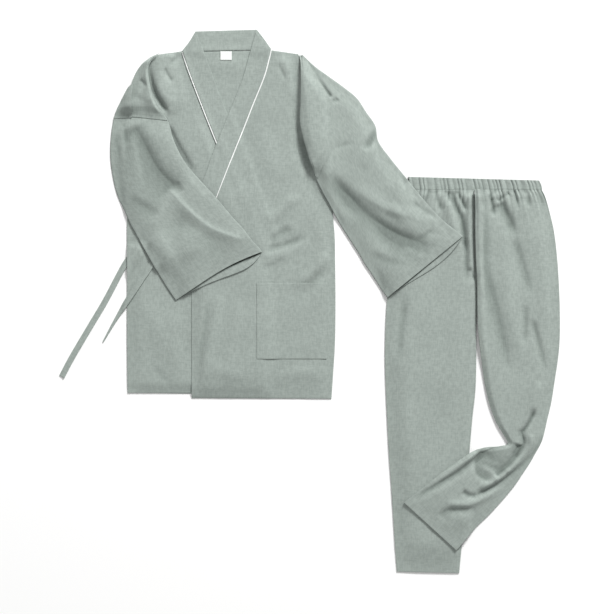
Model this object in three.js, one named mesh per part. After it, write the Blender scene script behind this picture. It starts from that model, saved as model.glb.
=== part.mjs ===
// A jinbei set laid flat: a wrap jacket and long trousers in slub cotton.
// Millimetres, +Z up. The set rests on z = 0 with its centre over the origin.
// Each piece of cloth is laid in turn on a height map of what already lies there,
// so a piece that crosses another steps over it and keeps a small clearance.
// Left and right are the wearer's. +Y points to the collar.

import * as THREE from 'three';

// Cloth and clearances
const CLOTH = 1.2; // one layer of slub cotton
const BAND = 2; // the collar band and the ties, sewn from folded strips
const SEAM_GAP = 0.35; // between pieces that are sewn together or lie on each other
const HOLLOW = 0.8; // air between the two walls of a flattened tube
const FOLD_RADIUS = 5; // how far inside a folded edge the cloth has rolled over
const FOLD_LOW = 0.3; // a folded edge's lower and upper rims, as shares of the tube's height
const FOLD_HIGH = 0.7;
const FOLD_WALL = 0.85; // height of the wall just inside a folded edge
const FOLD_STEP = 1.5; // the most that a folded edge lies over or under its neighbour
const EDGE_FADE = 30; // how far inside a piece's side edges its relief is whole
const FOLD_TAPER = 0.3; // share of a fold's length over which each end dies away

// Trims
const PIPING_WIDTH = 3;
const PIPING_FLANGE = 2;
const PIPED_FROM = { right: 3, left: 1 }; // the collar section at which each piping starts
const TIE_WIDTH = 13;
const WAIST_GATHERS = 27;
const GATHER_HEIGHT = 1.6;
const GATHER_LENGTH = 50; // how far the gathers run down the legs
const GATHERS_DENSE = 0.7; // shares of that length with a fine and with a middling grid
const GATHERS_SPARSE = 1.6;
const WAIST_SEAM_Y = 246;

// How far each cuff's walls bow outwards between its folds: the lower one shows
const CUFF_RIGHT = { upper: -8, lower: 14 };
const CUFF_LEFT = { upper: 0, lower: 14 };
const CUFF_SKEW = 1.3; // over 1, the bow is deepest towards the right-hand fold

// Height map
const MAP_CELL = 4;
const MAP_HALF = { x: 640, y: 690 };
const PRESS_STEP = 1.6; // spacing of the points that press a triangle into the map
const SETTLE_STEP = 4; // spacing of the points that test a triangle's clearance
const SETTLE_PASSES = 3;
const NEIGHBOUR_COLUMNS = 1.6; // how many columns apart points still share a face

const COTTON = { color: 0xa5afa9, roughness: 0.95, metalness: 0 };
const WHITE = { color: 0xf2f3ef, roughness: 0.8, metalness: 0 };

const table = (columns, rows) => rows.map((row) =>
  Object.fromEntries(columns.split(' ').map((name, i) => [name, row[i]])));

// Sections of each piece, in order, by the two ends of each
const EDGES = 'leftX leftY rightX rightY';

const BACK = table(EDGES, [
  [-400, -200, 45, -209],
  [-402, -107, 50, -107],
  [-402, 3, 53, 3],
  [-402, 113, 53, 113],
  [-402, 190, 51, 190],
  [-396, 289, 42, 289],
  [-385, 399, 26, 399],
  [-368, 470, 7, 470],
  [-352, 516, -15, 518],
  [-340, 539, -26, 542],
  [-279, 551, -88, 553],
]);

const FRONT_RIGHT = table(EDGES, [
  [-401, -201, -92, -201],
  [-402, -107, -92, -107],
  [-402, 3, -92, 3],
  [-402, 87, -103, 87],
  [-402, 168, -136, 168],
  [-400, 223, -158, 223],
  [-396, 289, -185, 289],
  [-387, 355, -211, 355],
  [-378, 404, -231, 404],
  [-370, 454, -251, 454],
  [-362, 503, -271, 505],
  [-342, 541, -288, 549],
]);

const FRONT_LEFT = table(EDGES, [
  [-260, -212, 47, -214],
  [-260, -155, 51, -155],
  [-260, -85, 55, -85],
  [-260, 3, 56, 3],
  [-260, 96, 55, 96],
  [-242, 146, 54, 146],
  [-209, 220, 48, 212],
  [-181, 293, 42, 289],
  [-161, 344, 33, 349],
  [-140, 395, 24, 395],
  [-125, 432, 15, 432],
  [-103, 487, -2, 483],
  [-89, 529, -18, 525],
  [-86, 552, -26, 544],
]);

const COLLAR_BACK = table(EDGES, [
  [-282, 550, -85, 554],
  [-266, 571, -100, 576],
  [-252, 594, -117, 598],
]);

const COLLAR_RIGHT = table(EDGES, [
  [-99, 89, -63, 105],
  [-131, 168, -95, 182],
  [-162, 245, -125, 258],
  [-188, 311, -150, 327],
  [-205, 352, -165, 370],
  [-226, 404, -180, 409],
  [-249, 463, -202, 465],
  [-268, 514, -224, 525],
  [-280, 550, -248, 588],
]);

const COLLAR_LEFT = table(EDGES, [
  [-256, 105, -258, 204],
  [-235, 160, -249, 232],
  [-207, 228, -227, 287],
  [-185, 286, -216, 320],
  [-160, 349, -195, 372],
  [-141, 397, -178, 415],
  [-127, 433, -164, 450],
  [-103, 492, -147, 494],
  [-92, 531, -135, 537],
  [-86, 556, -119, 593],
]);

const LABEL = table(EDGES, [
  [-197, 550, -172, 550],
  [-197, 531, -172, 531],
]);

const POCKET = table(EDGES, [
  [-117, -126, 37, -126],
  [-117, 41, 37, 41],
]);

const SHOULDER_LEFT = table(EDGES, [
  [-30, 547, -14, 545],
  [-22, 530, -4, 527],
  [-20, 498, 11, 496],
  [-20, 465, 32, 465],
  [-21, 432, 46, 437],
  [-22, 395, 48, 395],
  [-16, 364, 49, 355],
  [-7, 331, 48, 318],
  [4, 300, 42, 287],
  [14, 268, 37, 258],
]);

const SHOULDER_RIGHT = table(EDGES, [
  [-350, 536, -330, 545],
  [-366, 523, -345, 533],
  [-378, 509, -354, 514],
  [-386, 494, -354, 494],
  [-392, 476, -350, 472],
  [-393, 450, -343, 446],
  [-393, 428, -332, 422],
  [-393, 406, -312, 397],
]);

const SLEEVE_RIGHT_HEAD = table(EDGES, [
  [-399, 470, -386, 480],
  [-405, 460, -389, 464],
  [-415, 441, -390, 443],
  [-424, 423, -390, 424],
  [-432, 402, -390, 404],
]);

const SLEEVE_RIGHT = table(EDGES, [
  [-425, 421, -330, 421],
  [-432, 399, -312, 397],
  [-437, 366, -301, 360],
  [-439, 329, -288, 329],
  [-437, 298, -271, 300],
  [-430, 258, -249, 274],
  [-421, 228, -227, 250],
  [-408, 201, -205, 226],
  [-394, 170, -183, 200],
  [-376, 138, -165, 179],
  [-354, 98, -147, 160],
  [-330, 57, -128, 135],
  [-310, 25, -112, 118],
  [-295, 3, -105, 109],
]);

const SLEEVE_LEFT = table(EDGES, [
  [22, 250, -16, 541],
  [31, 234, 11, 516],
  [42, 215, 44, 492],
  [55, 190, 77, 468],
  [70, 164, 103, 446],
  [84, 142, 123, 416],
  [97, 122, 143, 386],
  [108, 105, 150, 351],
  [121, 82, 178, 312],
  [134, 63, 211, 271],
  [147, 43, 249, 223],
  [158, 25, 290, 179],
  [170, 9, 335, 143],
]);

const WAISTBAND = table(EDGES, [
  [220, 246.2, 510, 246.2],
  [218, 258, 508, 256],
  [216, 274, 503, 266],
]);

// The legs share their first seven sections' inner ends, on the centre seam
const LEG_RIGHT = table(EDGES, [
  [220, 245.8, 360, 245.8],
  [216, 230, 361, 230],
  [206, 199, 362, 199],
  [192, 155, 362, 155],
  [178, 98, 363.5, 98],
  [172, 38, 366.5, 38],
  [168, -19, 367, -19],
  [166, -63, 365, -67],
  [165, -129, 365, -129],
  [167, -195, 363, -195],
  [170, -261, 356, -261],
  [174, -338, 350, -331],
  [179, -408, 344, -404],
  [183, -470, 338, -470],
  [187, -536, 333, -536],
  [191, -594, 328, -597],
]);

const LEG_LEFT = table(EDGES, [
  [360, 245.8, 509, 245.8],
  [361, 230, 517, 230],
  [362, 199, 526, 199],
  [362, 155, 536, 155],
  [363.5, 98, 543, 98],
  [366.5, 38, 547, 38],
  [367, -19, 549, -19],
  [369, -67, 549, -74],
  [376, -122, 546, -118],
  [384, -177, 538, -173],
  [394, -223, 530, -223],
  [409, -264, 521, -261],
  [425, -292, 514, -292],
  [434, -308, 508, -311],
  [433, -315, 497, -331],
  [424, -317, 485, -352],
  [411, -319, 469, -376],
  [385, -321, 450, -404],
  [352, -332, 426, -433],
  [312, -359, 394, -468],
  [275, -387, 363, -498],
  [240, -415, 339, -525],
  [206, -441, 321, -546],
]);

// Routes of the ties, from their roots to their free ends
const ROUTE = 'x y width';

const TIE_SIDE = table(ROUTE, [
  [-383, 113, TIE_WIDTH],
  [-409, 78, TIE_WIDTH],
  [-449, 3, TIE_WIDTH],
  [-484, -56, TIE_WIDTH],
  [-524, -124, TIE_WIDTH],
  [-546, -166, TIE_WIDTH],
]);

const TIE_FRONT = table(ROUTE, [
  [-257, 129, TIE_WIDTH],
  [-300, 124, TIE_WIDTH],
  [-331, 104, TIE_WIDTH],
  [-364, 57, TIE_WIDTH],
  [-397, 8, TIE_WIDTH],
  [-429, -43, 7],
  [-455, -89, 3],
]);

// The largest folds, each a ridge along its three points
const FOLD = 'startX startY middleX middleY endX endY height width';

const FRONT_RIGHT_FOLDS = table(FOLD, [
  [-273, 507, -255, 450, -244, 424, 1.5, 16],
  [-374, 3, -330, -63, -297, -155, 1.2, 25],
]);

const FRONT_LEFT_FOLDS = table(FOLD, [
  [-86, 179, -57, 201, -29, 230, 2.2, 25],
  [-101, 116, -66, 127, -9, 142, 2, 25],
  [-35, 34, 9, 69, 53, 116, 2.4, 30],
  [-198, 23, -216, -85, -242, -186, 1.8, 22],
  [-73, 525, -70, 505, -68, 487, 1.5, 15],
]);

const SHOULDER_LEFT_FOLDS = table(FOLD, [
  [-18, 500, -12, 420, 8, 330, 4, 20],
]);

const SHOULDER_RIGHT_FOLDS = table(FOLD, [
  [-360, 490, -356, 450, -330, 405, 5, 20],
]);

const SLEEVE_LEFT_FOLDS = table(FOLD, [
  [77, 399, 92, 333, 136, 256, 3, 35],
  [70, 270, 125, 215, 180, 160, 3.5, 25],
  [250, 180, 287, 171, 334, 145, 2.5, 16],
  [-2, 510, 22, 470, 46, 430, 2, 16],
]);

const SLEEVE_RIGHT_FOLDS = table(FOLD, [
  [-418, 377, -414, 311, -400, 245, 3, 30],
  [-330, 388, -304, 333, -264, 278, 4, 25],
  [-255, 190, -209, 175, -147, 137, 3.5, 18],
  [-352, 146, -308, 87, -264, 36, 2, 30],
]);

const LEG_RIGHT_FOLDS = table(FOLD, [
  [300, 235, 318, 186, 320, 96, 3.5, 20],
  [352, 210, 355, 150, 352, 60, 3, 14],
  [240, 230, 232, 190, 214, 124, 2.5, 18],
  [209, -1, 207, -63, 203, -122, 1.6, 20],
  [319, -63, 312, -173, 299, -283, 2, 35],
]);

const LEG_LEFT_FOLDS = table(FOLD, [
  [436, 219, 460, 160, 468, 116, 3.5, 18],
  [410, 230, 415, 170, 405, 60, 3, 24],
  [484, 173, 500, 91, 512, 12, 2.6, 20],
  [400, 40, 420, -60, 455, -148, 2.4, 30],
  [518, -162, 505, -226, 488, -278, 3.5, 18],
  [497, -315, 465, -345, 405, -400, 5, 18],
  [279, -474, 319, -470, 376, -450, 3, 22],
  [248, -426, 297, -435, 345, -442, 2.6, 18],
]);

// Height map of what lies on the table

const mapColumns = Math.ceil((2 * MAP_HALF.x) / MAP_CELL);
const mapRows = Math.ceil((2 * MAP_HALF.y) / MAP_CELL);
const heights = new Float64Array(mapColumns * mapRows);

const columnAt = (x) => Math.floor((x + MAP_HALF.x) / MAP_CELL);
const rowAt = (y) => Math.floor((y + MAP_HALF.y) / MAP_CELL);

function highestWithin(x, y, reach) {
  let highest = 0;
  for (let row = rowAt(y - reach); row <= rowAt(y + reach); row += 1) {
    for (let column = columnAt(x - reach); column <= columnAt(x + reach); column += 1) {
      highest = Math.max(highest, heights[row * mapColumns + column]);
    }
  }
  return highest;
}

function forEachPointOf([a, b, c], spacing, visit) {
  const side = (p, q) => Math.hypot(p.x - q.x, p.y - q.y);
  const steps = Math.max(1, Math.ceil(Math.max(side(a, b), side(b, c), side(c, a)) / spacing));
  for (let i = 0; i <= steps; i += 1) {
    for (let j = 0; j <= steps - i; j += 1) {
      const k = steps - i - j;
      visit(
        (a.x * i + b.x * j + c.x * k) / steps,
        (a.y * i + b.y * j + c.y * k) / steps,
        (a.z * i + b.z * j + c.z * k) / steps,
      );
    }
  }
}

function pressTriangle(corners) {
  forEachPointOf(corners, PRESS_STEP, (x, y, z) => {
    const cell = rowAt(y) * mapColumns + columnAt(x);
    heights[cell] = Math.max(heights[cell], z);
  });
}

// The height that a piece's under side needs over a place on the map
function neededHeight(x, y, reach) {
  const under = highestWithin(x, y, reach);
  return under > 0 ? under + SEAM_GAP : 0;
}

// Outlines and their grids

const lerp = THREE.MathUtils.lerp;
const smooth = (x, from, to) => THREE.MathUtils.smoothstep(x, from, to);

function edgeCurve(sections, side) {
  return new THREE.SplineCurve(sections.map((section) =>
    new THREE.Vector2(section[`${side}X`], section[`${side}Y`])));
}

// A grid of plan points. Each row runs from the left edge to the right one, with an
// extra column just inside each edge, and each row may have its own count of columns
function planGrid(sections, { stations, columns }) {
  const left = edgeCurve(sections, 'left');
  const right = edgeCurve(sections, 'right');
  const rows = [];
  for (let i = 0; i <= stations; i += 1) {
    const t = i / stations;
    const from = left.getPoint(t);
    const to = right.getPoint(t);
    const width = from.distanceTo(to);
    const count = typeof columns === 'function' ? columns(from.y) : columns;
    const halfColumn = 0.5 / count;
    const inset = Math.min(FOLD_RADIUS / width, halfColumn);
    const inner = Array.from({ length: count - 1 }, (_, j) => (j + 1) / count);
    const shares = count > 1 ? [0, inset, ...inner, 1 - inset, 1] : [0, 1];
    rows.push(shares.map((u) => ({
      u,
      x: lerp(from.x, to.x, u),
      y: lerp(from.y, to.y, u),
      fromLeft: u * width,
      fromRight: (1 - u) * width,
      fromEnd: Math.min(t, 1 - t) * stations,
      z: 0,
    })));
  }
  return rows;
}

// How far apart a point is from its neighbours in the grid, corner to corner
function reachOf(rows, i, j) {
  const point = rows[i][j];
  let reach = 0;
  for (const row of [rows[i - 1], rows[i], rows[i + 1]]) {
    if (!row) continue;
    const farthest = NEIGHBOUR_COLUMNS / Math.min(row.length, rows[i].length);
    for (const other of row) {
      if (Math.abs(other.u - point.u) > farthest) continue;
      reach = Math.max(reach, Math.hypot(other.x - point.x, other.y - point.y));
    }
  }
  return reach;
}

function foldHeight(folds, x, y) {
  let height = 0;
  for (const fold of folds) {
    const legs = [
      [fold.startX, fold.startY, fold.middleX, fold.middleY],
      [fold.middleX, fold.middleY, fold.endX, fold.endY],
    ];
    let nearest = Infinity;
    let share = 0;
    legs.forEach(([ax, ay, bx, by], leg) => {
      const lengthSquared = (bx - ax) ** 2 + (by - ay) ** 2;
      const projected = ((x - ax) * (bx - ax) + (y - ay) * (by - ay)) / lengthSquared;
      const along = THREE.MathUtils.clamp(projected, 0, 1);
      const distance = Math.hypot(x - lerp(ax, bx, along), y - lerp(ay, by, along));
      if (distance < nearest) {
        nearest = distance;
        share = (leg + along) / legs.length;
      }
    });
    const taper = smooth(Math.min(share, 1 - share), 0, FOLD_TAPER);
    height += fold.height * taper * Math.exp(-((nearest / fold.width) ** 2));
  }
  return height;
}

// How far a piece rises off what lies under it: a little loft inside its edges,
// its folds, and whatever wave the piece adds
function reliefOf(piece, point) {
  const inside = smooth(point.fromLeft, 0, piece.fadeLeft ?? EDGE_FADE)
    * smooth(point.fromRight, 0, piece.fadeRight ?? EDGE_FADE) * smooth(point.fromEnd, 0, 1);
  const folds = foldHeight(piece.folds ?? [], point.x, point.y);
  const wave = piece.wave ? piece.wave(point) : 0;
  return Math.max(0, inside * ((piece.loft ?? 0) + folds) + wave);
}

// Fills between two rows of points, which may differ in their counts, by each
// point's share of the width
function facesBetween(first, second) {
  const faces = [];
  let i = 0;
  let j = 0;
  while (i < first.length - 1 || j < second.length - 1) {
    const nextFirst = i < first.length - 1 ? first[i + 1].u : Infinity;
    const nextSecond = j < second.length - 1 ? second[j + 1].u : Infinity;
    const onFirst = nextFirst <= nextSecond;
    faces.push([first[i], onFirst ? first[i + 1] : second[j + 1], second[j]]);
    if (onFirst) i += 1;
    else j += 1;
  }
  return faces;
}

const facesOf = (rows) => rows.slice(1).flatMap((row, i) => facesBetween(rows[i], row));

// The same faces with each pair's diagonal the other way
const mirroredFacesOf = (rows) => facesOf([...rows].reverse());

// Lowers each point as far as the faces round it stay clear of what lies below
function settle(faces) {
  const around = new Map();
  for (const face of faces) {
    for (const point of face) {
      if (!around.has(point)) around.set(point, []);
      around.get(point).push(face);
    }
  }
  for (let pass = 0; pass < SETTLE_PASSES; pass += 1) {
    for (const [point, facesAround] of around) {
      let room = point.z;
      for (const face of facesAround) {
        forEachPointOf(face, SETTLE_STEP, (x, y, z) => {
          room = Math.min(room, z - neededHeight(x, y, MAP_CELL));
        });
      }
      point.z -= Math.max(0, room);
    }
  }
}

// Lays a grid on the map: each point starts clear of all within its reach, and settles
function layOnMap(rows) {
  rows.forEach((row, i) => row.forEach((point, j) => {
    point.z = neededHeight(point.x, point.y, reachOf(rows, i, j) + MAP_CELL);
  }));
  settle([...facesOf(rows), ...mirroredFacesOf(rows)]);
}

// Closed solids

class Shell {
  constructor() {
    this.points = [];
    this.triangles = [];
  }

  add(x, y, z) {
    return this.points.push(new THREE.Vector3(x, y, z)) - 1;
  }

  face(a, b, c) {
    this.triangles.push([a, b, c]);
  }

  // Joins two rows of points. From crossedFrom on, each pair of faces meets on its
  // other diagonal. Turned faces point the other way
  strip(first, second, { crossedFrom = Infinity, turned = false } = {}) {
    for (let i = 0; i < first.length - 1; i += 1) {
      const [a, b, c, d] = [first[i], first[i + 1], second[i + 1], second[i]];
      const faces = i < crossedFrom ? [[a, b, c], [a, c, d]] : [[a, b, d], [b, c, d]];
      for (const [p, q, r] of faces) this.face(p, turned ? r : q, turned ? q : r);
    }
  }

  volume() {
    return this.triangles.reduce((sum, [a, b, c]) => sum
      + this.points[a].dot(new THREE.Vector3().crossVectors(this.points[b], this.points[c])) / 6, 0);
  }

  press() {
    for (const triangle of this.triangles) pressTriangle(triangle.map((id) => this.points[id]));
  }

  geometry(centre) {
    const inward = this.volume() < 0;
    const order = inward ? ([a, b, c]) => [a, c, b] : (face) => face;
    const geometry = new THREE.BufferGeometry();
    const moved = this.points.flatMap((point) => point.clone().sub(centre).toArray());
    geometry.setAttribute('position', new THREE.Float32BufferAttribute(moved, 3));
    geometry.setIndex(this.triangles.flatMap(order));
    geometry.computeVertexNormals();
    return geometry;
  }
}

// One layer of cloth
function sheetShell(piece) {
  const rows = planGrid(piece.sections, piece);
  layOnMap(rows);
  const thickness = piece.thickness ?? CLOTH;
  const shell = new Shell();
  for (const point of rows.flat()) {
    const raised = point.z + reliefOf(piece, point);
    point.lower = shell.add(point.x, point.y, raised);
    point.upper = shell.add(point.x, point.y, raised + thickness);
  }
  for (const [a, b, c] of facesOf(rows)) {
    shell.face(a.upper, b.upper, c.upper);
    shell.face(a.lower, c.lower, b.lower);
  }
  const uppers = (points) => points.map((point) => point.upper);
  const lowers = (points) => points.map((point) => point.lower);
  const last = rows[rows.length - 1];
  const left = rows.map((row) => row[0]);
  const right = rows.map((row) => row[row.length - 1]);
  shell.strip(lowers(rows[0]), uppers(rows[0]));
  shell.strip(uppers(last), lowers(last));
  shell.strip(uppers(left), lowers(left));
  shell.strip(lowers(right), uppers(right));
  return shell;
}

// The last row of a tube, its cuff, bowed outwards by a number of millimetres
function bowCuff(rows, bow) {
  const before = rows[rows.length - 2];
  const last = rows[rows.length - 1];
  const middle = Math.floor(last.length / 2);
  const out = new THREE.Vector2(last[middle].x, last[middle].y)
    .sub(new THREE.Vector2(before[middle].x, before[middle].y)).normalize();
  const bowed = last.map((point) => {
    const distance = bow * Math.sin(Math.PI * point.u ** CUFF_SKEW);
    return { ...point, x: point.x + out.x * distance, y: point.y + out.y * distance };
  });
  return [...rows.slice(0, -1), bowed];
}

// Keeps each folded edge close to the height of the cloth beside it
function levelFolds(rows) {
  for (const row of rows) {
    const last = row.length - 1;
    for (const [edge, beside] of [[row[0], row[1]], [row[last], row[last - 1]]]) {
      edge.z = Math.max(edge.z, beside.z - FOLD_STEP);
      beside.z = Math.max(beside.z, edge.z - FOLD_STEP);
    }
  }
}

const middleOf = (p, q) => ({ x: (p.x + q.x) / 2, y: (p.y + q.y) / 2, z: (p.z + q.z) / 2 });

// How high the lower wall lies under a point of the upper one, which may end short of it
function lowerWallUnder(rows, underRows, i, j) {
  if (i === 0) return underRows[i][j].z;
  const run = (grid) => Math.hypot(grid[i][j].x - grid[i - 1][j].x, grid[i][j].y - grid[i - 1][j].y);
  const share = Math.min(1, run(rows) / run(underRows));
  return lerp(underRows[i - 1][j].z, underRows[i][j].z, share);
}

// A flattened tube, open at both ends: a ring of wall round a thin hollow.
// The lower wall follows what it lies on, and the upper wall carries the folds. The
// lower wall may be coarser, with one column for every few of the upper wall's, and
// may show past the upper one at the cuff. Both walls, inside and out, share the same
// diagonals, so they keep their distance where the tube twists
function tubeShell(piece) {
  const rows = bowCuff(planGrid(piece.sections, piece), piece.cuff?.upper ?? 0);
  const underRows = bowCuff(planGrid(piece.sections, piece), piece.cuff?.lower ?? 0);
  if (!piece.onTable) {
    for (const grid of [rows, underRows]) {
      layOnMap(grid);
      levelFolds(grid);
    }
  }
  const full = 2 * CLOTH + HOLLOW;
  const every = piece.lowerEvery ?? 1;
  const shell = new Shell();
  const add = ({ x, y, z }) => shell.add(x, y, z);
  const raised = ({ x, y, z }, rise) => ({ x, y, z: z + rise });
  const rings = rows.map((row, i) => {
    const last = row.length - 1;
    const lower = [];
    const upper = [];
    row.forEach((point, j) => {
      const under = underRows[i][j];
      const base = Math.max(point.z, lowerWallUnder(rows, underRows, i, j));
      const folded = j === 0 || j === last;
      lower.push({ ...under, z: folded ? base + FOLD_LOW * full : under.z });
      upper.push({ ...point, z: base + (folded ? FOLD_HIGH * full : full + reliefOf(piece, point)) });
    });
    const insideOf = (wall, rise, foldRise) => wall.map((point, j) => {
      if (j === 0) return raised(middleOf(point, wall[1]), foldRise);
      if (j === last) return raised(middleOf(point, wall[last - 1]), foldRise);
      return raised(point, rise);
    });
    const kept = (_, j) => j === 0 || j === last || (j - 1) % every === 0;
    const below = lower.filter(kept).map(add);
    const innerBelow = insideOf(lower, CLOTH, FOLD_WALL).filter(kept).map(add);
    const above = upper.map(add).reverse();
    const innerAbove = insideOf(upper, -CLOTH, -FOLD_WALL).map(add).reverse();
    return {
      outer: [...below, ...above, below[0]],
      inner: [...innerBelow, ...innerAbove, innerBelow[0]],
      crossedFrom: below.length,
    };
  });
  for (let i = 0; i < rings.length - 1; i += 1) {
    const { crossedFrom } = rings[i];
    shell.strip(rings[i].outer, rings[i + 1].outer, { crossedFrom });
    shell.strip(rings[i].inner, rings[i + 1].inner, { crossedFrom, turned: true });
  }
  const end = rings[rings.length - 1];
  shell.strip(rings[0].inner, rings[0].outer);
  shell.strip(end.outer, end.inner);
  return shell;
}

// A narrow strip along a route
function routeSections(route) {
  return route.map((station, i) => {
    const before = route[Math.max(0, i - 1)];
    const after = route[Math.min(route.length - 1, i + 1)];
    const length = Math.hypot(after.x - before.x, after.y - before.y);
    const acrossX = (-(after.y - before.y) / length) * (station.width / 2);
    const acrossY = ((after.x - before.x) / length) * (station.width / 2);
    return {
      leftX: station.x + acrossX,
      leftY: station.y + acrossY,
      rightX: station.x - acrossX,
      rightY: station.y - acrossY,
    };
  });
}

// A strip that lies along the outer edge of a band, its flange under the band
function edgeSections(sections) {
  return sections.map((section) => {
    const width = Math.hypot(section.rightX - section.leftX, section.rightY - section.leftY);
    const x = (section.rightX - section.leftX) / width;
    const y = (section.rightY - section.leftY) / width;
    return {
      leftX: section.leftX - x * PIPING_WIDTH,
      leftY: section.leftY - y * PIPING_WIDTH,
      rightX: section.leftX + x * PIPING_FLANGE,
      rightY: section.leftY + y * PIPING_FLANGE,
    };
  });
}

// Pieces of the set, in the order in which they are laid down

const jacket = new THREE.Group();
const trousers = new THREE.Group();

function lay(group, name, shell, finish) {
  shell.press();
  const centre = new THREE.Box3().setFromPoints(shell.points).getCenter(new THREE.Vector3());
  const mesh = new THREE.Mesh(shell.geometry(centre), new THREE.MeshStandardMaterial(finish));
  mesh.name = name;
  mesh.position.copy(centre);
  group.add(mesh);
}

const waistShare = (y) => smooth(y, WAIST_SEAM_Y - GATHER_LENGTH, WAIST_SEAM_Y);
const gatherWave = (count) => (point) =>
  GATHER_HEIGHT * waistShare(point.y) * (0.5 - 0.5 * Math.cos(2 * Math.PI * count * point.u));

function layTie(name, route) {
  lay(jacket, name, sheetShell({
    sections: routeSections(route), stations: 14, columns: 1, thickness: BAND,
  }), COTTON);
}

function layJacketBody() {
  const pipedRight = COLLAR_RIGHT.slice(PIPED_FROM.right);
  const pipedLeft = COLLAR_LEFT.slice(PIPED_FROM.left);
  lay(jacket, 'back', sheetShell({ sections: BACK, stations: 15, columns: 8 }), COTTON);
  layTie('tie_side', TIE_SIDE);
  lay(jacket, 'collar_back', sheetShell({
    sections: COLLAR_BACK, stations: 4, columns: 8, thickness: BAND,
  }), COTTON);
  lay(jacket, 'label', sheetShell({ sections: LABEL, stations: 2, columns: 2, thickness: 1 }), WHITE);
  lay(jacket, 'front_right', sheetShell({
    sections: FRONT_RIGHT, stations: 16, columns: 7, loft: 0.6, folds: FRONT_RIGHT_FOLDS,
  }), COTTON);
  lay(jacket, 'piping_right', sheetShell({
    sections: edgeSections(pipedRight), stations: 10, columns: 1,
  }), WHITE);
  lay(jacket, 'collar_right', sheetShell({
    sections: COLLAR_RIGHT, stations: 14, columns: 2, thickness: BAND,
  }), COTTON);
  lay(jacket, 'front_left', sheetShell({
    sections: FRONT_LEFT, stations: 20, columns: 10, loft: 0.8, folds: FRONT_LEFT_FOLDS,
  }), COTTON);
  lay(jacket, 'piping_left', sheetShell({
    sections: edgeSections(pipedLeft), stations: 16, columns: 1,
  }), WHITE);
  lay(jacket, 'collar_left', sheetShell({
    sections: COLLAR_LEFT, stations: 16, columns: 2, thickness: BAND,
  }), COTTON);
  lay(jacket, 'pocket', sheetShell({ sections: POCKET, stations: 8, columns: 7, loft: 0.5 }), COTTON);
  layTie('tie_front', TIE_FRONT);
}

function layTrousers() {
  const legGathers = WAIST_GATHERS / 2;
  const backColumns = 5;
  const plainColumns = 7;
  const frontColumns = (y) => {
    if (y > WAIST_SEAM_Y - GATHERS_DENSE * GATHER_LENGTH) return legGathers * 4;
    return y > WAIST_SEAM_Y - GATHERS_SPARSE * GATHER_LENGTH ? legGathers * 2 : plainColumns;
  };
  const inset = (sections, side) => sections.map((section) => ({
    ...section,
    leftX: section.leftX + (side === 'left' ? SEAM_GAP / 2 : 0),
    rightX: section.rightX - (side === 'right' ? SEAM_GAP / 2 : 0),
  }));
  const legs = [
    ['leg_right', inset(LEG_RIGHT, 'right'), LEG_RIGHT_FOLDS, 30],
    ['leg_left', inset(LEG_LEFT, 'left'), LEG_LEFT_FOLDS, 44],
  ];
  for (const [name, sections, folds, stations] of legs) {
    lay(trousers, `${name}_back`, sheetShell({ sections, stations, columns: backColumns }), COTTON);
    lay(trousers, `${name}_front`, sheetShell({
      sections, stations, columns: frontColumns, loft: 0.8, folds, wave: gatherWave(legGathers),
    }), COTTON);
  }
  lay(trousers, 'waistband', tubeShell({
    sections: WAISTBAND, stations: 2, columns: WAIST_GATHERS * 4, lowerEvery: 9, onTable: true,
    wave: gatherWave(WAIST_GATHERS),
  }), COTTON);
}

function laySleeves() {
  lay(jacket, 'sleeve_right', tubeShell({
    sections: SLEEVE_RIGHT, stations: 15, columns: 7, loft: 1.5, folds: SLEEVE_RIGHT_FOLDS,
    cuff: CUFF_RIGHT,
  }), COTTON);
  lay(jacket, 'shoulder_right', sheetShell({
    sections: SHOULDER_RIGHT, stations: 9, columns: 3, fadeLeft: 40, fadeRight: 12, loft: 1,
    folds: SHOULDER_RIGHT_FOLDS,
  }), COTTON);
  lay(jacket, 'sleeve_right_head', sheetShell({
    sections: SLEEVE_RIGHT_HEAD, stations: 5, columns: 2, loft: 1,
  }), COTTON);
  lay(jacket, 'sleeve_left', tubeShell({
    sections: SLEEVE_LEFT, stations: 15, columns: 8, loft: 1.5, folds: SLEEVE_LEFT_FOLDS,
    cuff: CUFF_LEFT,
  }), COTTON);
  lay(jacket, 'shoulder_left', sheetShell({
    sections: SHOULDER_LEFT, stations: 12, columns: 3, fadeLeft: 14, loft: 1,
    folds: SHOULDER_LEFT_FOLDS,
  }), COTTON);
}

layJacketBody();
layTrousers();
laySleeves();

const set = new THREE.Group();
set.add(jacket, trousers);

export default set;
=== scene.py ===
# A jinbei set in slub cotton, laid flat: a wrap jacket and trousers.
# The pieces of cloth are laid on the table one by one. A height map keeps what
# already lies there, and each piece drapes over it with its own folds.
# Left and right are the wearer's. Outlines are in millimetres on the table, +Y
# towards the collar, as in the frame's solids.

import math

import bmesh
import bpy
import numpy as np
from bpy.props import FloatProperty, FloatVectorProperty, IntProperty, PointerProperty
from bpy.types import Operator, Panel, PropertyGroup
from mathutils import Matrix, Vector


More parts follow.
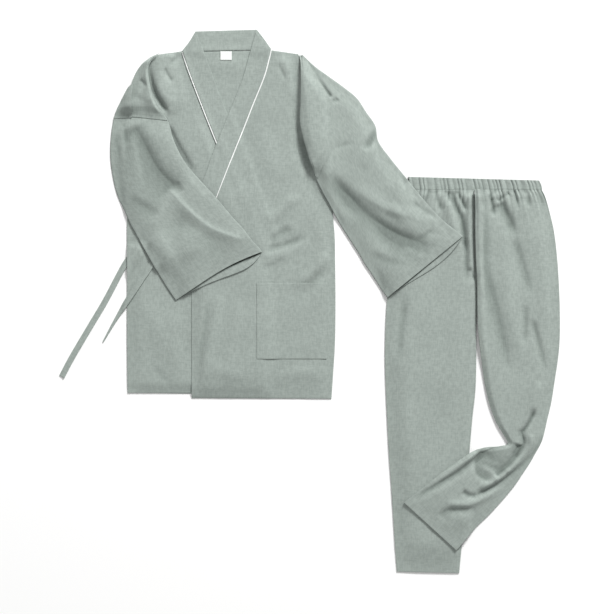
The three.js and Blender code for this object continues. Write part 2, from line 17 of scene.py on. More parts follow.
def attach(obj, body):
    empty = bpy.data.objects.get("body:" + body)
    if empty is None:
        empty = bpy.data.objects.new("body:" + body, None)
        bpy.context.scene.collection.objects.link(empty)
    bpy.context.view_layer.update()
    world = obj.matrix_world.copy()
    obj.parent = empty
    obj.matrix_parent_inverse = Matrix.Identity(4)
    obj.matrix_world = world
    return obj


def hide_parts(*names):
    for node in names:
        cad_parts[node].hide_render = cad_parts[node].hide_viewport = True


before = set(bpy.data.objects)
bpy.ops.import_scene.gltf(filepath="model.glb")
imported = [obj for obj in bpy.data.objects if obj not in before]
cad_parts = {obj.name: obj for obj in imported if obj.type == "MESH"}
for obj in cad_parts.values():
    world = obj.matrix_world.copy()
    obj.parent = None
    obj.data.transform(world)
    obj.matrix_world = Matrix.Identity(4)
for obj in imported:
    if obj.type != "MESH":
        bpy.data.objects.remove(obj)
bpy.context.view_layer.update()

bl_info = {
    "name": "Jinbei set laid flat",
    "version": (1, 0, 0),
    "blender": (4, 5, 0),
    "location": "3D View > Sidebar > Jinbei",
    "description": "Builds a cotton jinbei set, laid flat, piece by piece",
    "category": "Add Mesh",
}

MM = 0.001


# Outlines

EDGES = "left_x left_y right_x right_y"


def table(columns, rows):
    """Rows of numbers as one array for each named column"""
    numbers = [row.replace(",", " ").split() for row in rows.strip().splitlines()]
    return dict(zip(columns.split(), np.array(numbers, float).T))


BACK = table(EDGES, """
-400,-200 45,-209
-402,-107 50,-107
-402,3 53,3
-402,113 53,113
-402,190 51,190
-396,289 42,289
-385,399 26,399
-368,470 7,470
-352,516 -15,518
-340,539 -26,542
-279,551 -88,553
""")

FRONT_RIGHT = table(EDGES, """
-401,-201 -92,-201
-402,-107 -92,-107
-402,3 -92,3
-402,87 -103,87
-402,168 -136,168
-400,223 -158,223
-396,289 -185,289
-387,355 -211,355
-378,404 -231,404
-370,454 -251,454
-362,503 -271,505
-342,541 -288,549
""")

FRONT_LEFT = table(EDGES, """
-260,-212 47,-214
-260,-155 51,-155
-260,-85 55,-85
-260,3 56,3
-260,96 55,96
-242,146 54,146
-209,220 48,212
-181,293 42,289
-161,344 33,349
-140,395 24,395
-125,432 15,432
-103,487 -2,483
-89,529 -18,525
-86,552 -26,544
""")

COLLAR_BACK = table(EDGES, """
-282,550 -85,554
-266,571 -100,576
-252,594 -117,598
""")

COLLAR_RIGHT = table(EDGES, """
-99,89 -63,105
-131,168 -95,182
-162,245 -125,258
-188,311 -150,327
-205,352 -165,370
-226,404 -180,409
-249,463 -202,465
-268,514 -224,525
-280,550 -248,588
""")

COLLAR_LEFT = table(EDGES, """
-256,105 -258,204
-235,160 -249,232
-207,228 -227,287
-185,286 -216,320
-160,349 -195,372
-141,397 -178,415
-127,433 -164,450
-103,492 -147,494
-92,531 -135,537
-86,556 -119,593
""")

LABEL = table(EDGES, """
-197,550 -172,550
-197,531 -172,531
""")

POCKET = table(EDGES, """
-117,-126 37,-126
-117,41 37,41
""")

SHOULDER_LEFT = table(EDGES, """
-24,541 -16,541
-21,526 -2,522
-20,498 11,496
-20,465 32,465
-21,432 46,437
-22,395 48,395
-16,364 47,355
-7,331 42,318
3,300 26,292
13,273 18,271
""")

SHOULDER_RIGHT = table(EDGES, """
-350,536 -330,545
-366,523 -345,533
-378,509 -354,514
-386,494 -354,494
-392,476 -350,472
-393,450 -343,446
-393,428 -332,422
-393,406 -312,397
""")

SLEEVE_RIGHT_HEAD = table(EDGES, """
-399,470 -386,480
-405,460 -389,464
-415,441 -390,443
-424,423 -390,424
-432,402 -390,404
""")

SLEEVE_RIGHT = table(EDGES, """
-425,421 -330,421
-432,399 -312,397
-437,366 -301,360
-439,329 -288,329
-437,298 -271,300
-430,258 -249,274
-421,228 -227,250
-408,201 -205,226
-394,170 -183,200
-376,138 -165,179
-354,98 -147,160
-330,57 -128,135
-310,25 -112,118
-295,3 -105,109
""")

SLEEVE_LEFT = table(EDGES, """
13,270 -16,541
29,238 11,516
42,215 44,492
55,190 77,468
70,164 103,446
84,142 123,416
97,122 143,386
108,105 150,351
121,82 178,312
134,63 211,271
147,43 249,223
158,25 290,179
170,9 335,143
""")

WAISTBAND = table(EDGES, """
220,246.2 510,246.2
218,258 508,256
216,274 503,266
""")

LEG_RIGHT = table(EDGES, """
220,245.8 359.8,245.8
216,230 360.8,230
206,199 361.8,199
192,155 361.8,155
178,98 363.3,98
172,38 366.3,38
168,-19 366.8,-19
166,-63 364.8,-67
165,-129 365,-129
167,-195 363,-195
170,-261 356,-261
174,-338 350,-331
179,-408 344,-404
183,-470 338,-470
187,-536 333,-536
191,-594 328,-597
""")

LEG_LEFT = table(EDGES, """
360.2,245.8 509,245.8
361.2,230 517,230
362.2,199 526,199
362.2,155 536,155
363.7,98 543,98
366.7,38 547,38
367.2,-19 549,-19
369.2,-67 549,-74
376,-122 546,-118
384,-177 538,-173
394,-223 530,-223
409,-264 521,-261
425,-292 514,-292
434,-308 508,-311
433,-315 497,-331
424,-317 485,-352
411,-319 469,-376
385,-321 450,-404
352,-332 426,-433
312,-359 394,-468
275,-387 363,-498
240,-415 339,-525
206,-441 321,-546
""")

# Routes of the ties, from their roots to their free ends
ROUTE = "x y width"

TIE_SIDE = table(ROUTE, """
-383,113 13
-409,78 13
-449,3 13
-484,-56 13
-524,-124 13
-546,-166 13
""")

TIE_FRONT = table(ROUTE, """
-257,129 13
-300,124 13
-331,104 13
-364,57 13
-397,8 13
-429,-43 7
-455,-89 3
""")


# Folds. Each runs through four points, read in the photo's frame of 600 by 614
# pixels. A ridge has a height over 0 and a trough one under 0, in millimetres. left and
# right are the widths of its two flanks, seen from its start, fade_in and fade_out the
# shares of its length over which its ends die away, and a sharp fold has a crest instead
# of a round top

FOLD = ("start_x start_y second_x second_y third_x third_y end_x end_y "
        "height left right fade_in fade_out sharp")
FOLD_POINTS = ("start", "second", "third", "end")
PHOTO_ORIGIN = (310, 301.5)
PIXEL = 2.2


def photo_folds(rows):
    """Folds, with their points moved to the table and rounded to whole millimetres"""
    folds = table(FOLD, rows)
    for point in FOLD_POINTS:
        folds[f"{point}_x"] = np.rint((folds[f"{point}_x"] - PHOTO_ORIGIN[0]) * PIXEL)
        folds[f"{point}_y"] = np.rint((PHOTO_ORIGIN[1] - folds[f"{point}_y"]) * PIXEL)
    return folds


BACK_FOLDS = photo_folds("""
205,70 220,64 236,66 250,72 1.6 18 18 .3 .3 0
""")

FRONT_RIGHT_FOLDS = photo_folds("""
157,50 153,68 159,92 175,116 7.0 30 7 .05 .22 0
151,57 148,68 153,90 168,114 -6.5 10 6 .02 .15 0
147,70 147,66 150,61 155,57 -5 5 5 .1 .2 0
165,68 167,74 170,79 173,84 -3.4 4 5 .2 .3 1
181,52 177,57 173,61 169,66 -3 4 4 .1 .35 1
182,57 188,80 195,105 202,127 -2.4 6 16 .2 .3 0
168,126 175,142 184,158 197,177 -5.0 8 7 .2 .35 0
140,300 154,322 166,346 175,372 1.8 22 22 .3 .3 0
131,276 138,300 136,330 133,356 1.5 16 24 .3 .3 0
178,310 175,330 177,352 180,384 1.6 16 16 .3 .3 0
150,366 158,372 166,380 172,388 -1.2 10 14 .3 .3 0
""")

FRONT_LEFT_FOLDS = photo_folds("""
268,224 279,213 289,203 299,194 4.0 12 12 .3 .3 0
268,243 276,237 284,232 292,227 -3.4 8 13 .3 .3 0
264,250 278,247 292,243 306,237 -3.6 9 15 .3 .3 0
266,256 280,253 296,247 312,240 2.6 9 13 .3 .3 0
294,287 308,275 321,262 334,249 4.2 12 15 .3 .3 0
300,290 312,281 323,271 333,262 -2.4 8 12 .3 .3 0
221,291 214,322 207,354 200,386 3.4 15 9 .25 .3 0
208,296 205,325 202,350 198,378 -2.0 9 10 .3 .3 0
238,292 236,320 230,352 226,384 1.8 16 12 .3 .3 0
278,62 280,68 283,75 287,82 -1.8 4 4 .3 .3 1
286,58 288,72 291,86 294,100 1.8 12 12 .3 .3 0
304,58 305,100 308,134 318,168 7.5 18 13 .15 .2 0
299,56 299,96 301,134 312,176 -4.5 8 16 .1 .2 0
300,134 304,150 309,166 318,184 -4.0 10 15 .3 .4 0
306,170 314,186 324,202 334,216 -3 10 16 .25 .3 0
242,180 252,200 262,218 274,232 1.8 22 22 .3 .3 0
262,122 266,146 272,166 280,180 1.8 20 20 .3 .3 0
319,216 324,240 326,256 322,276 1.6 14 14 .3 .3 0
200,356 216,368 234,376 256,380 1.2 16 16 .3 .3 0
275,384 290,374 304,372 324,376 1.4 14 14 .3 .3 0
""")

SHOULDER_LEFT_FOLDS = photo_folds("""
306,70 307,100 310,134 317,160 2.4 24 8 .3 .3 0
""")

SHOULDER_RIGHT_FOLDS = photo_folds("""
153,60 149,76 152,96 162,114 4.0 7 18 .15 .15 0
140,80 143,83 145,85 148,88 -3 4 5 .2 .3 1
135,90 142,95 148,99 153,104 2.0 9 9 .3 .3 0
122,114 138,111 152,113 166,119 -4.2 13 9 .15 .2 0
""")

SLEEVE_RIGHT_HEAD_FOLDS = photo_folds("""
126,94 127,101 127,107 126,113 1.2 6 8 .3 .3 0
""")

SLEEVE_LEFT_FOLDS = photo_folds("""
326,173 358,209 395,236 438,251 -9.5 15 44 .2 .2 0
352,184 374,202 396,213 424,220 3.6 16 10 .35 .3 0
421,217 436,221 449,227 461,236 4.4 6 10 .2 .15 1
410,201 420,208 429,214 440,221 -3.6 4 6 .2 .3 1
305,57 313,69 322,84 332,99 -6 3 5 .02 .1 1
332,100 334,101 336,101 338,99 -3 4 4 .2 .2 1
308,56 320,70 332,87 341,103 0.8 15 7 .2 .35 0
378,131 373,137 369,144 364,152 -6 9 10 .3 .3 0
374,142 370,152 366,160 364,170 2.6 10 12 .3 .3 0
344,118 349,140 358,164 372,184 1.6 34 30 .3 .3 0
320,180 330,196 342,212 360,228 3.0 14 16 .3 .3 0
352,200 364,222 376,244 390,264 2.4 20 22 .3 .3 0
388,206 394,210 404,222 420,232 2.0 12 12 .3 .3 0
417,242 423,237 430,232 437,228 -2.6 5 6 .3 .3 0
425,248 430,243 436,239 442,236 2.0 5 6 .3 .3 0
368,252 380,259 392,263 405,266 -2.4 10 14 .3 .3 0
402,248 410,252 418,256 427,260 1.8 9 10 .3 .3 0
331,150 339,147 347,145 355,142 -1.2 4 5 .3 .3 1
""")

SLEEVE_RIGHT_FOLDS = photo_folds("""
133,124 147,150 161,174 182,194 -9 15 60 .12 .2 1
160,118 168,138 178,160 192,184 1.2 18 20 .2 .35 0
176,181 178,185 180,189 183,193 -1.8 6 8 .3 .15 0
168,188 187,209 212,229 246,241 4.4 5 30 .12 .15 1
170,210 190,226 212,240 240,247 -4.6 18 44 .3 .25 0
127,199 137,204 148,210 160,218 -3.6 12 26 .25 .3 0
124,122 125,130 126,138 126,148 -2.6 4 5 .2 .3 1
115,128 116,140 118,150 120,162 -2.6 5 5 .2 .3 1
119,126 121,140 122,150 124,164 2.0 6 7 .2 .3 0
133,132 135,150 138,170 142,190 1.8 9 12 .3 .3 0
150,236 162,252 176,268 190,284 2.2 20 20 .3 .3 0
136,236 148,256 158,272 168,288 -2.0 14 16 .3 .3 0
""")

LEG_RIGHT_FOLDS = photo_folds("""
404,190 405,196 405,202 404,210 -3.4 5 6 .05 .4 1
412,190 412,196 411,202 409,207 -3.4 4 5 .05 .4 1
447,191 448,196 449,200 450,206 -3.6 4 5 .05 .4 1
451,190 455,205 462,222 466,256 -6.5 6 9 .1 .25 0
457,191 460,198 463,205 467,213 -5.5 4 5 .1 .3 1
464,236 466,250 466,266 467,284 -4.0 6 7 .25 .3 0
469,193 469,222 470,250 471,278 5.0 4 7 .1 .15 0
468,268 471,272 473,276 476,281 -3.4 4 4 .2 .2 1
444,196 450,214 455,232 457,252 3.0 10 10 .2 .35 0
430,190 427,197 423,204 419,211 -4.2 5 6 .1 .35 1
436,190 437,198 439,206 441,213 -4.2 5 5 .1 .35 1
406,292 403,316 400,340 398,364 -3.4 9 12 .3 .3 0
395,300 392,324 390,346 390,368 1.8 10 10 .3 .3 0
430,298 434,330 432,366 428,400 1.4 26 26 .3 .3 0
458,300 457,340 452,380 448,420 1.8 18 24 .3 .3 0
405,400 408,420 408,440 404,460 1.4 18 18 .3 .3 0
419,490 423,510 422,530 419,556 1.2 16 18 .3 .3 0
396,500 399,514 399,526 397,540 -1.4 8 8 .3 .3 0
""")

LEG_LEFT_FOLDS = photo_folds("""
481,190 482,196 482,203 483,210 -3.2 4 6 .05 .4 1
514,190 515,196 517,202 519,210 -4.2 4 6 .05 .4 1
520,190 521,195 522,199 523,205 -3.6 4 5 .05 .4 1
541,191 543,197 546,202 549,209 -3.4 4 5 .05 .4 1
488,200 490,196 493,192 495,189 -5 4 5 .25 .1 1
491,198 492,204 493,211 494,218 -5 4 5 .15 .35 1
497,203 501,199 504,196 508,192 -6 4 6 .2 .1 1
499,202 505,212 510,222 515,240 -7 9 16 .15 .3 0
513,234 519,256 525,276 530,297 -3.6 9 14 .25 .3 0
527,190 528,196 528,202 529,209 -4.2 4 5 .1 .35 1
534,193 538,197 542,202 546,207 -3.8 4 5 .15 .35 1
477,193 478,226 479,262 479,300 3.6 9 4 .1 .2 0
486,208 483,262 494,306 510,378 -4.6 11 18 .25 .2 0
506,240 507,286 514,330 524,372 2.8 16 16 .3 .3 0
526,304 525,318 525,332 524,347 -3.0 6 9 .25 .3 0
532,318 537,337 542,355 547,376 -3.6 6 9 .2 .3 0
540,232 544,270 546,300 545,330 1.8 12 14 .3 .3 0
540,380 539,392 536,404 532,416 3.0 9 10 .3 .3 0
535,408 532,417 527,426 521,434 -7 3 5 .3 .2 1
518,428 522,435 523,444 517,454 -7 4 7 .35 .0 1
521,444 516,456 507,467 495,477 -8.5 4 10 .1 .1 1
531,432 530,446 520,460 505,473 5.5 6 6 .2 .15 0
511,468 501,476 490,483 478,489 4.6 6 7 .2 .25 0
546,435 528,459 500,482 472,497 -7.5 9 5 .1 .18 1
484,447 476,463 480,476 497,481 -5.5 26 6 .15 .25 0
489,448 492,455 493,462 490,471 -4.5 26 24 .1 .2 0
483,451 459,470 436,484 411,499 -6.5 9 6 .1 .2 0
484,444 462,460 436,475 408,493 4.2 6 6 .1 .2 0
445,502 462,504 480,499 503,487 4.2 9 7 .25 .25 0
438,517 445,511 460,508 479,510 -4.2 7 12 .2 .3 0
461,490 465,493 470,495 476,495 -4.5 6 7 .25 .2 0
412,500 416,504 421,508 427,511 2.0 8 8 .3 .3 0
480,510 490,520 486,532 476,542 1.4 12 12 .3 .3 0
454,516 466,522 470,532 466,544 1.2 10 12 .3 .3 0
""")


# Layers on the table

# A cell of the height map and half the map's size, in millimetres, how many cells away
# cloth feels a step, close to it and as a slope, and points pressed down for each cell
CELL = 2.0
MAP_HALF = (640.0, 690.0)
NEAR = 2
WIDE = 4
PRESSED = 1.5


def highest_near(heights, reach):
    """The greatest height within so many cells, along the rows and then the columns"""
    for axis in (0, 1):
        heights = np.max([np.roll(heights, step, axis) for step in range(-reach, reach + 1)], axis=0)
    return heights


def blurred(heights, spread):
    """A round blur, as far as three spreads"""
    reach = int(3 * spread)
    weights = np.exp(-0.5 * (np.arange(-reach, reach + 1) / spread) ** 2)
    weights /= weights.sum()
    for axis in (0, 1):
        heights = sum(w * np.roll(heights, step, axis)
                      for step, w in zip(range(-reach, reach + 1), weights))
    return heights


def finer(grid, times):
    """The grid with more rows and columns, filled in straight lines"""
    for axis in (0, 1):
        count = grid.shape[axis]
        places = np.linspace(0, count - 1, (count - 1) * times + 1)
        low = np.minimum(places.astype(int), count - 2)
        share = (places - low).reshape((-1, 1) if axis == 0 else (1, -1))
        grid = np.take(grid, low, axis) * (1 - share) + np.take(grid, low + 1, axis) * share
    return grid


def between(grid, row, column):
    """The grid's values at places between its rows and columns"""
    rows, columns = grid.shape
    low_row = np.minimum(np.floor(row).astype(int), rows - 2)
    low_column = np.minimum(np.floor(column).astype(int), columns - 2)
    up, across = row - low_row, column - low_column
    return (grid[low_row, low_column] * (1 - up) * (1 - across)
            + grid[low_row + 1, low_column] * up * (1 - across)
            + grid[low_row, low_column + 1] * (1 - up) * across
            + grid[low_row + 1, low_column + 1] * up * across)


class TableTop:
    """The heights of what lies on the table, in millimetres, cell by cell"""

    def __init__(self):
        self.heights = np.zeros([int(2 * half / CELL) for half in reversed(MAP_HALF)])

    def cells(self, x, y):
        """The row and the column at a place on the table, as fractions too"""
        return (y + MAP_HALF[1]) / CELL - 0.5, (x + MAP_HALF[0]) / CELL - 0.5

    def support(self, x, y, gap, near_cells=NEAR, wide_cells=WIDE):
        """The lowest height at which cloth lies clear of what is under it"""
        near = highest_near(self.heights, near_cells)
        wide = blurred(highest_near(self.heights, wide_cells), wide_cells / 2)
        base = np.where(near > 0, np.maximum(near, wide) + gap, wide)
        return between(base, *self.cells(x, y))

    def press(self, x, y, top, spacing):
        """Keeps the top of a grid of points"""
        times = max(1, math.ceil(spacing / CELL * PRESSED))
        row, column = self.cells(finer(x, times), finer(y, times))
        place = (np.rint(row).astype(int), np.rint(column).astype(int))
        np.maximum.at(self.heights, place, finer(top, times))


table_top = TableTop()

# The plan and the top surface of each piece that is laid
laid = {}


# Shapes of cloth

# From how far inside a close edge the cloth starts to bridge what is under it, and where
# it does so in full
BRIDGED_FROM = (3, 26)

# How far around a point the cloth is compared with it, and the share of a trough's depth
# that is added
HOLLOW_SPREAD = 7
HOLLOW_SHARE = 0.5

# Steps along an outline, and columns close to a folded edge, by their distance from it
OUTLINE_STEPS = 400
ROLL_COLUMNS = [0, 0.5, 1.2, 2.2, 3.6, 5.5, 8]

# Steps along a fold, how round the crest of a sharp one is, how flanks fall away, and the
# share of its length before its ends at which a fold starts to rise
FOLD_STEPS = 18
CREST_RADIUS = 1.5
SHARP_FALL = 1.25
ROUND_FALL = 2
JUST_BEFORE = -0.001

# Swells: their number, wavelengths, and how far and over which lengths they bend
SWELLS = 7
WAVELENGTHS = (70, 190)
SWELL_BEND = 12
BEND_LENGTHS = (60, 140)

# How much of a trough's shade stays at a piece's edges, where its relief dies away
EDGE_SUNK = 0.7

# The rounding of a rim, as a share of the cloth's thickness, the least turn in degrees that
# is rounded, and the narrowest cut in metres
RIM_SHARE = 0.3
RIM_ANGLE = 50
NARROWEST_CUT = 0.0101

# How deep in shade the lower wall of a tube lies, as a hollow, and over which distance
# past the upper wall's cuff it comes into the light
INSIDE_SHADE = 11
SHADE_BEYOND_CUFF = (4, -1)

# How far up a tube its cuff bows, and how far the bow leans to one side
CUFF_REACH = 30
CUFF_SKEW = 1.3

# Points along a row of stitches, and the share of the pitch that each stitch takes up
ROUTE_STEPS = 120
STITCH_SHARE = 0.7


def smooth(x, low, high):
    """A soft step from 0 at low to 1 at high"""
    share = np.clip((x - low) / (high - low), 0, 1)
    return share * share * (3 - 2 * share)


def resting_height(plan, x, y, style):
    """Where a piece's under side rests: close at some of its edges, bridging steps elsewhere"""
    gap = bpy.context.scene.jinbei_sizes.gap / MM
    close = table_top.support(x, y, gap, style.get("near", NEAR), style.get("wide", WIDE))
    if "bridge" not in style:
        return close
    bridged = table_top.support(x, y, gap, NEAR, style["bridge"])
    bridging = 1
    for side in style.get("close_at", ("left", "right")):
        bridging = bridging * smooth(getattr(plan, f"from_{side}"), *BRIDGED_FROM)
    return close + np.maximum(bridged - close, 0) * bridging


def hollows(plan, z, sunk):
    """How deep each point lies in the cloth's hollows, in millimetres, which sets how much shade is
    painted into its colour
    """
    spread = HOLLOW_SPREAD / plan.spacing
    margin = int(3 * spread) + 1
    padded = np.pad(z, margin, mode="edge")
    around = blurred(padded, spread)[margin:-margin, margin:-margin]
    return around - z + HOLLOW_SHARE * sunk


def spline(values, t):
    """A smooth curve through the values, at shares t of the way through them"""
    last = len(values) - 1
    place = np.clip(t, 0, 1) * last
    i = np.minimum(place.astype(int), last - 1)
    w = place - i
    if values.ndim > 1:
        i = i[:, 0]
    before, a, b, after = (values[np.clip(i + step, 0, last)] for step in (-1, 0, 1, 2))
    start, end = (b - before) / 2, (after - a) / 2
    return ((2 * a - 2 * b + start + end) * w ** 3
            + (3 * b - 3 * a - 2 * start - end) * w ** 2 + start * w + a)


class Plan:
    """A piece's grid on the table: rows along it, columns across it"""

    def __init__(self, outline, spacing, rolled=False):
        self.spacing = spacing
        fine = np.linspace(0, 1, OUTLINE_STEPS)
        left_x, left_y, right_x, right_y = (spline(outline[name], fine) for name in EDGES.split())
        steps = np.hypot(*np.diff(np.array([(left_x + right_x) / 2, (left_y + right_y) / 2])))
        travelled = np.concatenate([[0], np.cumsum(steps)])
        widths = np.hypot(right_x - left_x, right_y - left_y)
        self.length = travelled[-1]
        self.width = widths.max()
        self.area = float(np.sum(steps * (widths[1:] + widths[:-1]) / 2))
        rows = max(2, round(self.length / spacing))
        columns = max(2, round(self.width / spacing))
        along = np.interp(np.linspace(0, self.length, rows + 1), travelled, fine)[:, None]
        across = np.linspace(0, 1, columns + 1)
        if rolled:
            roll = np.array(ROLL_COLUMNS) / self.width
            inner = across[(across > roll[-1]) & (across < 1 - roll[-1])]
            across = np.concatenate([roll, inner, 1 - roll[::-1]])
        self.across = across[None, :]
        left_x, left_y, right_x, right_y = (spline(outline[name], along) for name in EDGES.split())
        self.x = left_x + (right_x - left_x) * self.across
        self.y = left_y + (right_y - left_y) * self.across
        wide = np.hypot(right_x - left_x, right_y - left_y)
        self.from_left = wide * self.across
        self.from_right = wide * (1 - self.across)
        self.from_start = np.interp(along, fine, travelled) + 0 * self.across
        self.from_end = self.length - self.from_start

    def turned(self):
        """Whether the columns run the wrong way round for faces that point up"""
        along = np.array([self.x[1, 0] - self.x[0, 0], self.y[1, 0] - self.y[0, 0]])
        across = np.array([self.x[0, -1] - self.x[0, 0], self.y[0, -1] - self.y[0, 0]])
        return across[0] * along[1] - across[1] * along[0] < 0


def fold_heights(folds, x, y):
    """How far the folds lift the cloth at each point"""
    total = np.zeros_like(x)
    names = FOLD.split()
    for row in zip(*(folds[name] for name in names)):
        fold = dict(zip(names, row))
        places = np.array([[fold[f"{point}_x"], fold[f"{point}_y"]] for point in FOLD_POINTS])
        route = spline(places, np.linspace(0, 1, FOLD_STEPS + 1)[:, None])
        nearest = np.full_like(x, np.inf)
        side = np.zeros_like(x)
        share = np.zeros_like(x)
        for i in range(len(route) - 1):
            leg = route[i + 1] - route[i]
            away_x, away_y = x - route[i][0], y - route[i][1]
            place = np.clip((away_x * leg[0] + away_y * leg[1]) / leg.dot(leg), 0, 1)
            distance = np.hypot(away_x - place * leg[0], away_y - place * leg[1])
            closer = distance < nearest
            nearest = np.where(closer, distance, nearest)
            side = np.where(closer, leg[0] * away_y - leg[1] * away_x, side)
            share = np.where(closer, (i + place) / (len(route) - 1), share)
        flank = np.where(side > 0, fold["left"], fold["right"])
        power = SHARP_FALL if fold["sharp"] else ROUND_FALL
        crest = CREST_RADIUS if fold["sharp"] else 0
        distance = np.sqrt(nearest ** 2 + crest ** 2) - crest
        start = smooth(share, JUST_BEFORE, fold["fade_in"])
        end = smooth(1 - share, JUST_BEFORE, fold["fade_out"])
        total += fold["height"] * (start * end) * np.exp(-((distance / flank) ** power))
    return total


def soft_waves(x, y, height, seed):
    """Low, wide and uneven swells, as in cloth that has been pressed and laid down"""
    random = np.random.default_rng(seed)
    total = np.zeros_like(x)
    for _ in range(SWELLS):
        angle = random.uniform(0, math.pi)
        wavelength = random.uniform(*WAVELENGTHS)
        phase = random.uniform(0, 2 * math.pi)
        bend = random.uniform(*BEND_LENGTHS)
        lateral = x * math.sin(angle) - y * math.cos(angle)
        run = x * math.cos(angle) + y * math.sin(angle) + SWELL_BEND * np.sin(lateral / bend + phase)
        total += np.sin(2 * math.pi * run / wavelength + phase)
    return height * (0.5 + total / SWELLS)


def relief(plan, style):
    """Loft, swells and folds, which die away at the piece's seams or keep a share there,
    and how deep the troughs are"""
    inside = 1
    for side, distance in (("left", plan.from_left), ("right", plan.from_right),
                           ("start", plan.from_start), ("end", plan.from_end)):
        kept = style.get(f"keep_{side}", 0)
        inside = inside * (kept + (1 - kept) * smooth(distance, -1, style.get(f"fade_{side}", 25)))
    lift = style.get("loft", 0) + soft_waves(plan.x, plan.y, style.get("swell", 0), style.get("seed", 1))
    folded = np.zeros_like(plan.x)
    if "folds" in style:
        depth = bpy.context.scene.jinbei_sizes.fold_depth
        folded = depth * fold_heights(style["folds"], plan.x, plan.y)
    total = inside * (lift + folded)
    if "wave" in style:
        total = total + style["wave"](plan)
    return np.maximum(total, 0), (EDGE_SUNK + (1 - EDGE_SUNK) * inside) * np.maximum(-folded, 0)


def made_object(name, work, smooth_faces=True):
    """The object of a finished bmesh"""
    for face in work.faces:
        face.smooth = smooth_faces
    mesh = bpy.data.meshes.new(name)
    work.to_mesh(mesh)
    work.free()
    made = bpy.data.objects.new(name, mesh)
    bpy.context.collection.objects.link(made)
    return made


def grid_mesh(name, x, y, z, uv, hollow, turned, closed=False):
    """A grid with its points at the given places. A closed one joins its side edges"""
    rows, columns = x.shape
    work = bmesh.new()
    bmesh.ops.create_grid(work, x_segments=columns - 1, y_segments=rows - 1, size=0.5)
    layer = work.loops.layers.uv.new("cloth")
    # Each point's hollow depth, which sets the shade painted into the cotton's colour
    depth = work.verts.layers.float.new("hollow")
    work.verts.ensure_lookup_table()
    places = np.stack([x, y, z], -1).reshape(-1, 3) * MM
    grain = uv.reshape(-1, 2) * MM
    for vert, place, deep in zip(work.verts, places, hollow.ravel()):
        vert.co = place
        vert[depth] = deep
    for face in work.faces:
        for loop in face.loops:
            loop[layer].uv = grain[loop.vert.index]
    if closed:
        bmesh.ops.remove_doubles(work, verts=work.verts, dist=0.01 * MM)
    if turned:
        bmesh.ops.reverse_faces(work, faces=work.faces)
    return made_object(name, work)


def thicken(piece, thickness, offset):
    """Gives a sheet its thickness and rounds its rims"""
    wall = piece.modifiers.new("thickness", "SOLIDIFY")
    wall.thickness = thickness * MM
    wall.offset = offset
    wall.use_even_offset = False
    rim = piece.modifiers.new("rim", "BEVEL")
    rim.width = thickness * RIM_SHARE * MM
    rim.segments = 2
    rim.limit_method = "ANGLE"
    rim.angle_limit = math.radians(RIM_ANGLE)


def grain_of(plan, style):
    """Where each point lies on the woven cloth"""
    if style.get("grain") == "along":
        return np.stack([plan.from_left - (plan.from_left + plan.from_right) / 2, plan.from_start], -1)
    return np.stack([plan.x, plan.y], -1)


def dress(piece, node, slot, plan, times_round=1):
    """Puts a piece in the frame under its body, hides its solid and gives it its finish. The width,
    length and area of its cut are worked out but not used
    """
    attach(piece, "root")
    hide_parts(node)
    piece.data.materials.append(finish(slot))
    width = max(plan.width * times_round * MM, NARROWEST_CUT)
    length, area = plan.length * MM, plan.area * times_round * MM * MM


def lay_sheet(node, outline, rests_on, held="laid", slot="cotton", **style):
    """One layer of cloth, laid on what is already on the table"""
    plan = Plan(outline, style.get("spacing", 3.0))
    sizes = bpy.context.scene.jinbei_sizes
    thickness = style.get("thickness", sizes.cloth / MM)
    lift, sunk = relief(plan, style)
    lower = resting_height(plan, plan.x, plan.y, style) + lift
    table_top.press(plan.x, plan.y, lower + thickness, plan.spacing)
    laid[node] = (plan, plan.x, plan.y, lower + thickness)
    piece = grid_mesh(f"{node}.cloth", plan.x, plan.y, lower, grain_of(plan, style),
                      hollows(plan, lower, sunk), plan.turned())
    thicken(piece, thickness, 1)
    dress(piece, node, slot, plan, style.get("times_round", 1))


